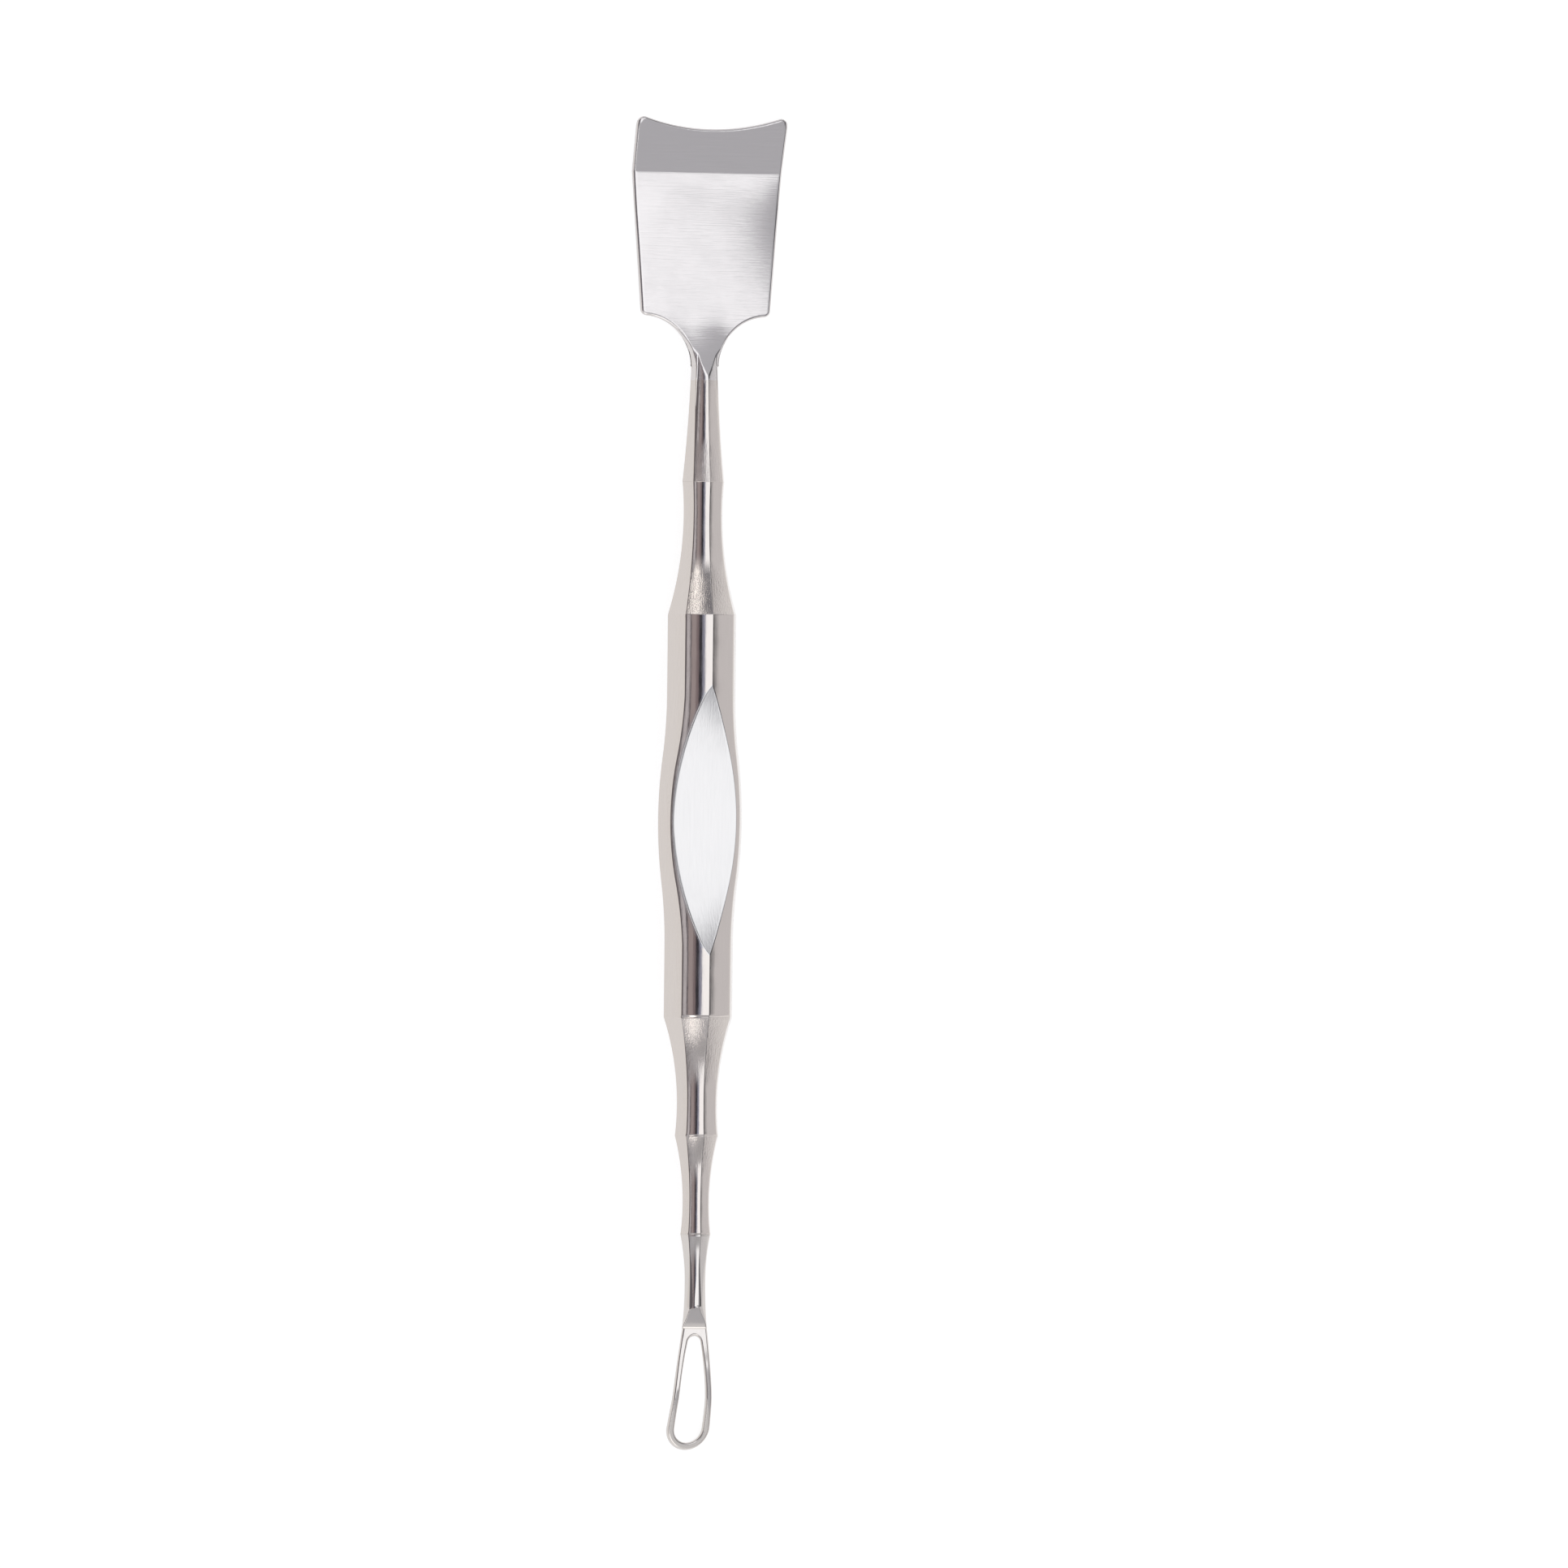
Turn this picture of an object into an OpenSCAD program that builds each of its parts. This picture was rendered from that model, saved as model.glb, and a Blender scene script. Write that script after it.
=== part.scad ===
// Double-ended skin care tool in stainless steel.
// A broad spade with a turned-up lip sits at one end and a fine loop at the other.
// The eight-sided handle between them is scalloped at both ends and hollow ground at the thumb.
//
// It lies as it rests on a table: +Y runs from the loop to the spade, +Z is up,
// and the handle sits on one of its eight flats at z = 0.
// Every module below works on the tool's own axis, with the front ridge up, and
// on_table() then rolls it onto that flat.

/* [Handle] */
// size across the flats of the straight grip
grip_flats = 6.7; // [6:0.05:8]
// length of the grip between its two end edges
grip_len = 40.45; // [36:0.05:50]
// size across the side flats at the thickest part of the grip
swell_flats = 8.2; // [7.2:0.05:9]
// size across the two broad flats beside the thumb scoops, on their high side
high_flats = 7.05; // [6.8:0.05:7.5]
// size across the same flats on their low side
low_flats = 6.15; // [5.9:0.05:6.6]
// half length of the swelling
swell_reach = 12.5; // [9:0.1:14]
// scallop next to the spade: its length, how far its waist is from its outer edge, and its waist
blade_scallop_len = 13.35; // [11:0.05:16]
blade_waist_in = 3.2; // [2.5:0.1:4]
blade_waist_flats = 3.81; // [3.6:0.01:4.4]
// inner scallop next to the loop: the same three sizes
inner_scallop_len = 11.9; // [10:0.05:14]
inner_waist_in = 3.1; // [2.5:0.1:4]
inner_waist_flats = 3.94; // [3.6:0.01:4.4]
// outer scallop next to the loop: the same three sizes
outer_scallop_len = 9.9; // [8.5:0.05:12]
outer_waist_in = 3.15; // [2.5:0.05:3.6]
outer_waist_flats = 2.62; // [2.5:0.01:3]

/* [Thumb scoops] */
// radius of the wheel that ground the scoops
scoop_r = 74.9; // [60:0.1:90]
// height of the deepest point of a scoop over the tool's axis
scoop_floor = 2.3; // [1.9:0.05:2.6]
// how far the scoops lean off the front ridge, in degrees
scoop_lean = 6; // [0:0.5:8]
// how far the scoops sit from the middle of the grip, towards the loop
scoop_shift = 0.4; // [-1:0.1:1.5]

/* [Spade] */
// thickness of the spade
blade_t = 0.9; // [0.8:0.05:1.2]
// width at the foot, at the crease and at the lip's end
foot_w = 13.4; // [12.6:0.1:14]
crease_w = 15.74; // [14.5:0.02:17]
lip_w = 15.96; // [14.5:0.02:17]
// length from the foot's corners to the crease
plate_len = 14.2; // [11:0.1:17]
// length of the lip, along the tool
lip_len = 5.6; // [4.5:0.1:7]
// how far the lip is turned up out of the spade's plane, in degrees
lip_bend = 18.5; // [10:0.5:25]
// radius of the hollow working edge
edge_r = 22.5; // [18:0.5:40]
// radius of the lip's two corners
lip_corner_r = 0.8; // [0.5:0.05:1.1]
// radius of the foot's two corners
foot_corner_r = 0.65; // [0.4:0.05:0.8]
// width of the 45 degree break along the spade's long edges
edge_break = 0.2; // [0.1:0.02:0.3]
// radius of the sweep from the neck into the foot
flare_r = 5.5; // [5.3:0.1:5.8]
// length of the neck from the foot's corners to the handle
blade_neck_len = 16.8; // [14:0.1:20]
// neck across its side flats and across its broad flats, at the foot
neck_side_flats = 2.45; // [2.3:0.05:2.8]
neck_broad_flats = 2.0; // [1.9:0.05:2.3]
// radius of the wheel that thinned the neck down to the spade
grind_r = 24; // [20:1:30]

/* [Loop] */
// length of the neck from the handle to the loop's crease
loop_neck_len = 9.5; // [8.5:0.1:12]
// distance of the neck's waist from the handle, and its waist across the flats
loop_waist_out = 4.6; // [4:0.1:5.2]
loop_waist_flats = 2.07; // [2:0.01:2.4]
// radius of the neck's sweep from its waist into the loop
loop_sweep_r = 60; // [50:1:80]
// length of the two small ground flats before the crease
facet_len = 2.3; // [1.8:0.1:2.8]
// length of the loop, from its crease to its end
loop_len = 12.3; // [11:0.1:14]
// thickness of the loop's strip
loop_t = 0.75; // [0.6:0.05:0.9]
// outer width of the loop at its end, and where it starts
loop_w = 4.5; // [4.2:0.05:5]
loop_root_w = 2.6; // [2.4:0.05:2.9]
// width of the strip round the end, and along the sides
strip_end_w = 0.78; // [0.7:0.02:0.9]
strip_side_w = 0.63; // [0.58:0.01:0.7]
// length of solid metal between the crease and the eye
eye_in = 0.75; // [0.6:0.05:1.2]
// how far the loop leans back at its root, and from its bend on, in degrees
root_lean = 4; // [2:0.5:6]
end_lean = 23; // [15:0.5:24]
// distance of the bend from the crease, along the tool
bend_at = 6.9; // [6:0.1:7.5]
// radius of the bend, at the middle of the strip
bend_r = 4; // [3:0.5:5]

/* [Joints] */
// radius and length of the spade's tang
blade_tang_r = 1.15; // [1:0.05:1.25]
blade_tang_len = 8; // [6:0.5:10]
// radius and length of the loop's tang
loop_tang_r = 0.8; // [0.7:0.05:0.85]
loop_tang_len = 6; // [4:0.5:7]
// radial gap between a tang and its socket
tang_gap = 0.05; // [0.03:0.01:0.08]
// depth left free behind a tang
socket_relief = 0.4; // [0.2:0.1:0.8]
// leg of the filler ring in the socket's chamfer
braze_leg = 0.3; // [0.25:0.05:0.35]
// gap round the filler ring
braze_gap = 0.02; // [0.01:0.01:0.03]

/* [Hidden] */
$fn = 180;

// angle between neighbouring ridges of the handle, and half of it
side_angle = 45;
half_side = side_angle / 2;

// stations along the tool, worked out from the spade's end
tool_len = lip_len + plate_len + blade_neck_len + blade_scallop_len + grip_len
  + inner_scallop_len + outer_scallop_len + loop_neck_len + loop_len;
y_end = tool_len / 2;
y_crease = y_end - lip_len;
y_foot = y_crease - plate_len;
y_a = y_foot - blade_neck_len;
y_b = y_a - blade_scallop_len;
y_c = y_b - grip_len;
y_d = y_c - inner_scallop_len;
y_e = y_d - outer_scallop_len;
y_loop = y_e - loop_neck_len;
y_tip = y_loop - loop_len;
y_waist_ab = y_a - blade_waist_in;
y_waist_cd = y_d + inner_waist_in;
y_waist_de = y_e + outer_waist_in;
y_waist_ef = y_e - loop_waist_out;
y_scoop = (y_b + y_c) / 2 - scoop_shift;

// radius of an arc that rises by up over a run of along from its lowest point
function arc_r(along, up) = (along * along + up * up) / (2 * up);
// height of such an arc at a distance of along from its lowest point
function arc_up(r, along) = r - sqrt(r * r - along * along);
// points on an arc about [x, y], from one angle to another
function arc_points(x, y, r, from, to, steps = 12) = [
  for (i = [0 : steps])
    let (angle = from + (to - from) * i / steps)
      [x + r * cos(angle), y + r * sin(angle)]
];

// the chain of scallops: each meets its neighbour in a crisp edge
flat_grip = grip_flats / 2;
flat_ab = blade_waist_flats / 2;
r_ab = arc_r(y_waist_ab - y_b, flat_grip - flat_ab);
flat_a = flat_ab + arc_up(r_ab, blade_waist_in);
flat_cd = inner_waist_flats / 2;
r_cd = arc_r(y_c - y_waist_cd, flat_grip - flat_cd);
flat_d = flat_cd + arc_up(r_cd, inner_waist_in);
flat_de = outer_waist_flats / 2;
r_de = arc_r(y_d - y_waist_de, flat_d - flat_de);
flat_e = flat_de + arc_up(r_de, outer_waist_in);
flat_ef = loop_waist_flats / 2;
r_ef = arc_r(loop_waist_out, flat_e - flat_ef);
flat_loop = flat_ef + arc_up(loop_sweep_r, loop_neck_len - loop_waist_out);

// widest thing that a cutter has to clear
clear_w = crease_w + 4;

// rolls the finished tool onto a flat
module on_table() {
  translate([0, 0, flat_grip])
    rotate([0, half_side, 0])
      children();
}

// a 2D shape (x across, y along) carried straight through the tool, its x turned by angle
module through(angle) {
  rotate([0, -angle, 0])
    linear_extrude(clear_w, center = true)
      children();
}

// a 2D side view (x along the tool, y up) carried across the tool
module across() {
  rotate([90, 0, 90])
    linear_extrude(clear_w, center = true)
      children();
}

// something drawn along z, laid along the tool from y = from, in the direction dir
module along_y(from, dir) {
  translate([0, from, 0])
    rotate([-90 * dir, 0, 0])
      children();
}

// both side cuts of a scallop: circles that leave half_flat beside the axis
module waist_cut(y, half_flat, r) {
  for (side = [-1, 1])
    translate([side * (half_flat + r), y])
      circle(r);
}

// a smooth rise of the grip's outline to half_flat, made of a crest and two hollows
module swell(half_flat) {
  rise = half_flat - flat_grip;
  r = arc_r(swell_reach / 2, rise / 2);
  for (side = [-1, 1])
    translate([0, y_scoop])
      scale([side, 1]) {
        intersection() {
          translate([half_flat - r, 0])
            circle(r);
          translate([0, -swell_reach / 2])
            square([half_flat, swell_reach]);
        }
        difference() {
          translate([0, -swell_reach])
            square([flat_grip + rise / 2, swell_reach * 2]);
          for (end = [-1, 1])
            translate([flat_grip + r, end * swell_reach])
              circle(r);
        }
      }
}

// outline of the handle across one pair of flats
module handle_outline() {
  difference() {
    union() {
      translate([-flat_grip, y_e])
        square([grip_flats, y_a - y_e]);
      children();
    }
    waist_cut(y_waist_ab, flat_ab, r_ab);
    waist_cut(y_waist_cd, flat_cd, r_cd);
    waist_cut(y_waist_de, flat_de, r_de);
  }
}

// one thumb scoop, ground by a wheel that runs across the tool
module scoop() {
  rotate([0, -scoop_lean, 0])
    translate([0, y_scoop, scoop_floor + scoop_r])
      rotate([0, 90, 0])
        cylinder(r = scoop_r, h = clear_w, center = true, $fn = 720);
}

// a socket in an end face: bore, then a chamfer at its mouth that holds the filler
module socket(y, dir, r, depth) {
  along_y(y, dir) {
    translate([0, 0, -1])
      cylinder(r = r, h = depth + 1);
    translate([0, 0, -1])
      cylinder(r1 = r + braze_leg + 1, r2 = r, h = braze_leg + 1);
  }
}

module handle() {
  color("silver")
    on_table()
      difference() {
        intersection() {
          side_flats();
          through(90 - half_side)
            handle_outline()
              swell(high_flats / 2);
          through(90 + half_side)
            difference() {
              handle_outline();
              waist_cut(y_scoop, low_flats / 2, arc_r(swell_reach, (grip_flats - low_flats) / 2));
            }
        }
        scoop();
        rotate([0, 180, 0])
          scoop();
        socket(y_a, -1, blade_tang_r + tang_gap, blade_tang_len + socket_relief);
        socket(y_e, 1, loop_tang_r + tang_gap, loop_tang_len + socket_relief);
      }
}

// the two pairs of side flats, which swell at the thumb
module side_flats() {
  intersection() {
    through(half_side)
      handle_outline()
        swell(swell_flats / 2);
    through(-half_side)
      handle_outline()
        swell(swell_flats / 2);
  }
}

// radius of the long arc that tapers the spade's neck to foot_flats at the foot
function neck_r(foot_flats) = arc_r(blade_neck_len, flat_a - foot_flats / 2);

// outline of the spade's neck across one pair of flats, swept out into the foot
module blade_neck_outline(foot_flats, sweep_r) {
  r = neck_r(foot_flats);
  start = y_foot - sweep_r;
  half_start = foot_flats / 2 + arc_up(r, sweep_r);
  difference() {
    translate([-clear_w / 2, y_a])
      square([clear_w, y_end + 1 - y_a]);
    intersection() {
      waist_cut(y_foot, foot_flats / 2, r);
      translate([-clear_w, y_a - 1])
        square([clear_w * 2, start - y_a + 1]);
    }
    for (side = [-1, 1])
      translate([side * (half_start + sweep_r), start])
        circle(sweep_r);
  }
}

// plan view of the spade: foot, sides, crease, lip and hollow working edge
module blade_plan() {
  lean = atan((crease_w - foot_w) / 2 / plate_len);
  foot_x = foot_w / 2 - foot_corner_r * tan((90 - lean) / 2);
  corner_y = y_foot + foot_corner_r;
  lip_x = lip_w / 2 - lip_corner_r;
  half_neck = (neck_side_flats / 2 + arc_up(neck_r(neck_side_flats), flare_r)) / cos(half_side) + 0.08;
  difference() {
    union() {
      polygon(concat(
        [[foot_x, y_a]],
        arc_points(foot_x, corner_y, foot_corner_r, -90, -lean, 8),
        [
          [crease_w / 2, y_crease],
          [lip_w / 2, y_end - lip_corner_r],
          [lip_x, y_end],
          [-lip_x, y_end],
          [-lip_w / 2, y_end - lip_corner_r],
          [-crease_w / 2, y_crease]
        ],
        arc_points(-foot_x, corner_y, foot_corner_r, 180 + lean, 270, 8),
        [[-foot_x, y_a]]
      ));
      for (side = [-1, 1])
        translate([side * lip_x, y_end - lip_corner_r])
          circle(lip_corner_r, $fn = 48);
    }
    for (side = [-1, 1])
      translate([side * (half_neck + flare_r), y_foot - flare_r])
        circle(flare_r);
    translate([0, y_end + sqrt(pow(edge_r, 2) - pow(lip_x, 2))])
      circle(edge_r, $fn = 360);
  }
}

// side view of the spade: neck hollow ground down to the plate, crease and turned-up lip
module blade_side() {
  half_t = blade_t / 2;
  grind_end = y_foot - foot_corner_r / 3;
  mitre = half_t * tan(lip_bend / 2);
  beyond = lip_len + 1;
  lip_half = half_t / cos(lip_bend);
  lip_rise = beyond * tan(lip_bend);
  difference() {
    polygon([
      [y_a, -flat_grip],
      [grind_end, -flat_grip],
      [grind_end, -half_t],
      [y_crease + mitre, -half_t],
      [y_crease + beyond, lip_rise - lip_half],
      [y_crease + beyond, lip_rise + lip_half],
      [y_crease - mitre, half_t],
      [grind_end, half_t],
      [grind_end, flat_grip],
      [y_a, flat_grip]
    ]);
    for (side = [-1, 1])
      translate([grind_end, side * (half_t + grind_r)])
        circle(grind_r, $fn = 360);
  }
}

// 45 degree breaks along the spade's long edges, from the foot to the lip's end
module edge_breaks() {
  foot_reach = foot_w / 2 + blade_t / 2 - edge_break;
  crease_reach = crease_w / 2 + blade_t / 2 - edge_break;
  lip_reach = lip_w / 2 + blade_t / 2 / cos(lip_bend) - edge_break;
  intersection_for (up = [-1, 1]) {
    rise = up * lip_len * tan(lip_bend);
    through(up * 45)
      scale([cos(45), 1])
        polygon([
          [-foot_reach, y_a],
          [foot_reach, y_a],
          [foot_reach, y_foot],
          [crease_reach, y_crease],
          [rise + lip_reach, y_end],
          [rise + lip_reach, y_end + 1],
          [rise - lip_reach, y_end + 1],
          [rise - lip_reach, y_end],
          [-crease_reach, y_crease],
          [-foot_reach, y_foot]
        ]);
  }
}

module spade_blade() {
  color("silver")
    on_table()
      union() {
        intersection() {
          through(0)
            blade_plan();
          across()
            blade_side();
          edge_breaks();
          through(half_side)
            blade_neck_outline(neck_side_flats, flare_r);
          through(-half_side)
            blade_neck_outline(neck_side_flats, flare_r);
          through(90 - half_side)
            blade_neck_outline(neck_broad_flats, flare_r - 1);
          through(90 + half_side)
            blade_neck_outline(neck_broad_flats, flare_r - 1);
        }
        tang(y_a, -1, blade_tang_r, blade_tang_len);
      }
}

// a round tang with a small lead-in chamfer
module tang(y, dir, r, length) {
  lead = r * 0.3;
  along_y(y, dir) {
    translate([0, 0, -0.5])
      cylinder(r = r, h = length - lead + 0.5);
    translate([0, 0, length - lead])
      cylinder(r1 = r, r2 = r - lead, h = lead);
  }
}

// outline of the loop's neck across one pair of flats
module loop_neck_outline() {
  difference() {
    translate([-flat_grip, y_loop])
      square([grip_flats, y_e - y_loop]);
    intersection() {
      waist_cut(y_waist_ef, flat_ef, r_ef);
      translate([-clear_w, y_waist_ef])
        square([clear_w * 2, loop_waist_out + 1]);
    }
    intersection() {
      waist_cut(y_waist_ef, flat_ef, loop_sweep_r);
      translate([-clear_w * 2, y_loop - 1])
        square([clear_w * 4, y_waist_ef - y_loop + 1]);
    }
  }
}

// side view of the loop's neck: a ground flat above and below runs down to the strip
module loop_neck_side() {
  half = flat_loop / cos(half_side);
  polygon([
    [y_loop, -loop_t / 2],
    [y_loop + facet_len, -half],
    [y_e, -flat_grip],
    [y_e, flat_grip],
    [y_loop + facet_len, half],
    [y_loop, loop_t / 2]
  ]);
}

// a pear shape along -Y: a round of end_r about the origin and a round of root_r at y = up,
// joined by sides that bow out with radius side_r
module pear(end_r, root_r, up, side_r) {
  far = side_r - end_r;
  near = side_r - root_r;
  side_y = (far * far - near * near + up * up) / (2 * up);
  side_x = sqrt(far * far - side_y * side_y);
  end_touch = -end_r * side_y / far;
  root_touch = up + root_r * (up - side_y) / near;
  circle(end_r, $fn = 96);
  translate([0, up])
    circle(root_r, $fn = 48);
  intersection() {
    translate([-side_x, 0])
      circle(side_r, $fn = 720);
    translate([side_x, 0])
      circle(side_r, $fn = 720);
    translate([-end_r * 2, end_touch])
      square([end_r * 4, root_touch - end_touch]);
  }
}

// plan view of the loop and its eye
module loop_plan() {
  end_y = y_tip + loop_w / 2;
  root_r = loop_root_w / 2;
  eye_r = loop_w / 2 - strip_end_w;
  eye_root_r = root_r - strip_side_w;
  difference() {
    translate([0, end_y])
      pear(loop_w / 2, root_r, y_loop - end_y, 100);
    translate([0, end_y])
      pear(eye_r, eye_root_r, y_loop - eye_in - eye_root_r - end_y, 44);
    translate([-loop_w, y_loop])
      square([loop_w * 2, loop_w]);
  }
}

// side view of the strip: it leans back a little, then bends further back
module loop_side() {
  turn = end_lean - root_lean;
  first = bend_at / cos(root_lean) - bend_r * tan(turn / 2);
  upper = bend_r + loop_t / 2;
  lower = bend_r - loop_t / 2;
  far_x = -first - loop_len * cos(turn);
  far_y = -bend_r - loop_len * sin(turn);
  translate([y_loop, 0])
    rotate(root_lean)
      polygon(concat(
        [[loop_t / 2 * tan(root_lean), loop_t / 2]],
        arc_points(-first, -bend_r, upper, 90, 90 + turn),
        [
          [far_x - upper * sin(turn), far_y + upper * cos(turn)],
          [far_x - lower * sin(turn), far_y + lower * cos(turn)]
        ],
        arc_points(-first, -bend_r, lower, 90 + turn, 90),
        [[0, -loop_t / 2]]
      ));
}

module loop_tip() {
  color("silver")
    on_table()
      union() {
        intersection() {
          across()
            loop_neck_side();
          through(half_side)
            loop_neck_outline();
          through(-half_side)
            loop_neck_outline();
          through(90 - half_side)
            loop_neck_outline();
          through(90 + half_side)
            loop_neck_outline();
        }
        intersection() {
          through(0)
            loop_plan();
          across()
            loop_side();
        }
        tang(y_e, 1, loop_tang_r, loop_tang_len);
      }
}

// filler in a socket's chamfer, closed in by the shoulder that sits on it
module braze_ring(y, dir, tang_r) {
  inner = tang_r + braze_gap;
  reach = tang_gap + braze_leg - braze_gap * (1 + sqrt(2));
  along_y(y, dir)
    rotate_extrude($fn = 96)
      polygon([
        [inner, braze_gap],
        [inner + reach - braze_gap, braze_gap],
        [inner, reach]
      ]);
}

module blade_braze_ring() {
  color("gainsboro")
    on_table()
      braze_ring(y_a, -1, blade_tang_r);
}

module loop_braze_ring() {
  color("gainsboro")
    on_table()
      braze_ring(y_e, 1, loop_tang_r);
}

handle();
spade_blade();
blade_braze_ring();
loop_tip();
loop_braze_ring();
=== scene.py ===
from math import acos, atan2, cos, hypot, pi, radians, sin, sqrt, tan

import bmesh
import bpy
from mathutils import Matrix, Vector


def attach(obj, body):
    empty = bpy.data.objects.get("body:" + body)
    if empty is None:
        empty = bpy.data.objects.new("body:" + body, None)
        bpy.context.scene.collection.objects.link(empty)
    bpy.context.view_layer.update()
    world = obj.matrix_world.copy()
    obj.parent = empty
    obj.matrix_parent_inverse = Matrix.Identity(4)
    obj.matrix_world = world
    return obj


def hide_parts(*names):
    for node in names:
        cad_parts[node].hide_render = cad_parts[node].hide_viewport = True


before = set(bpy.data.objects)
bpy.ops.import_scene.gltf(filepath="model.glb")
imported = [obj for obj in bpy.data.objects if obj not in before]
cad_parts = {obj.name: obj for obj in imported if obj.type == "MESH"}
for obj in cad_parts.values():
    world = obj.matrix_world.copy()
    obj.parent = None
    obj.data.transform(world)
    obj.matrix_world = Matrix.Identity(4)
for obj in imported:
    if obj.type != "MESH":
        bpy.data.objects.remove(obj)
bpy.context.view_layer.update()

# ---- sizes of the tool, in millimetres on its own axis: y along, x across, z up through the front ridge
HALF_SIDE = radians(22.5)
FLAT_GRIP = 3.35
Y_END, Y_CREASE, Y_FOOT = 67.0, 61.5, 47.05
Y_A, Y_B, Y_C, Y_D, Y_E = 30.4, 17.05, -23.4, -35.3, -45.2
Y_LOOP, Y_TIP = -54.7, -67.0
Y_SCOOP = (Y_B + Y_C) / 2 - 0.4

# rolls a finished mesh onto its resting flat, in metres
ON_TABLE = (Matrix.Translation((0, 0, FLAT_GRIP / 1000)) @ Matrix.Rotation(HALF_SIDE, 4, "Y")
            @ Matrix.Scale(0.001, 4))


def arc_r(along, up):
    """radius of the arc that rises by up over a length along"""
    return (along * along + up * up) / (2 * up)


def arc_up(r, along):
    """rise of an arc over a length from its lowest point"""
    return r - sqrt(max(r * r - along * along, 0.0))


# the scallops: how far each waist is from the smaller crisp edge, half size across the flats there, radius
WAIST_AB, WAIST_CD, WAIST_DE, WAIST_EF = 3.2, 3.1, 3.15, 4.6
FLAT_AB, FLAT_CD, FLAT_DE, FLAT_EF = 3.81 / 2, 3.94 / 2, 2.62 / 2, 2.07 / 2
R_AB = arc_r(Y_A - WAIST_AB - Y_B, FLAT_GRIP - FLAT_AB)
FLAT_A = FLAT_AB + arc_up(R_AB, WAIST_AB)
R_CD = arc_r(Y_C - Y_D - WAIST_CD, FLAT_GRIP - FLAT_CD)
FLAT_D = FLAT_CD + arc_up(R_CD, WAIST_CD)
R_DE = arc_r(Y_D - Y_E - WAIST_DE, FLAT_D - FLAT_DE)
FLAT_E = FLAT_DE + arc_up(R_DE, WAIST_DE)
R_EF = arc_r(WAIST_EF, FLAT_E - FLAT_EF)
# the swelling at the thumb: its reach to each side, and half sizes across the flats at its middle
SWELL_REACH = 12.5
SIDE_MIDDLE, HIGH_MIDDLE, LOW_MIDDLE = 4.1, 3.525, 3.075
# the two thumb scoops: lean of the wheel off the ridge in degrees, half thickness that it left, its radius, and
# how far the scoops reach to each side
SCOOP_LEAN = -6
SCOOP_FLOOR, SCOOP_R = 2.26, 68.6
SCOOP_REACH = 13.5
# mirror flats that the buff rolled over at an end: end, reach, depth
ROLLED_LOW = ((Y_C, 0.36, 0.1), (Y_D, 0.32, 0.085), (Y_E, 0.3, 0.07))
ROLLED_TOP = (Y_B, 0.7, 0.02)


def stem(y):
    """half size across the flats of the plain scalloped stem"""
    if y > Y_B:
        return FLAT_AB + arc_up(R_AB, y - (Y_A - WAIST_AB))
    if y > Y_C:
        return FLAT_GRIP
    if y > Y_D:
        return FLAT_CD + arc_up(R_CD, y - (Y_D + WAIST_CD))
    return FLAT_DE + arc_up(R_DE, y - (Y_E + WAIST_DE))


def swelling(y, half):
    """rise of a flat at the thumb: a crest between two hollows"""
    r = arc_r(SWELL_REACH / 2, (half - FLAT_GRIP) / 2)
    off = abs(y - Y_SCOOP)
    if off < SWELL_REACH / 2:
        return half - arc_up(r, off) - FLAT_GRIP
    return arc_up(r, SWELL_REACH - off) if off < SWELL_REACH else 0.0


def side_flat(y):
    return stem(y) + swelling(y, SIDE_MIDDLE)


def high_flat(y):
    return stem(y) + swelling(y, HIGH_MIDDLE) - ends_rolled(y)


def low_flat(y):
    off = abs(y - Y_SCOOP)
    dip = FLAT_GRIP - LOW_MIDDLE
    sunk = dip - arc_up(arc_r(SWELL_REACH, dip), off) if off < SWELL_REACH else 0.0
    return stem(y) - sunk - ends_rolled(y)


def ends_rolled(y):
    """how far the buff rolled the mirror flats over at their ends"""
    drop = 0.0
    for end, reach, depth in ROLLED_LOW:
        if end <= y < end + reach:
            drop += depth * (1 - (y - end) / reach) ** 2
    end, reach, depth = ROLLED_TOP
    if end - reach < y <= end:
        drop += depth * (1 - (end - y) / reach) ** 2
    return drop


def scoop_flat(y):
    return SCOOP_FLOOR + arc_up(SCOOP_R, y - Y_SCOOP)


# ---- a bar's section: straight cuts at angles from the front ridge, in order round the tool. Each cut has its
# size along the tool, a number of points across, and the tilt of its edges against its middle. Buffing leaves a
# flat crowned out, and a flat with a tilt below 0 is hollow, so that it doesn't grow outwards under the tool. A
# ground cut has None: the wheel left it a slight round
CROWN = radians(5.2)
SLIGHT = radians(1.7)
HOLLOW = -CROWN * 0.4
# bulge of a ground cut for each square millimetre of its width
WHEEL_ROUND = 0.006
# points in each rounded edge, and its radius in mm where nothing else is said
ROUND = 3
EDGE_ROUND = 0.13
# crisp changes of slope are eased over this much
EASE_MM = 0.1
# half side of the square that the cuts start from
BLANK = 9


def facing(angle):
    """the way that a cut faces, at an angle in degrees from the front ridge"""
    return Vector((sin(radians(angle)), cos(radians(angle))))


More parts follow.
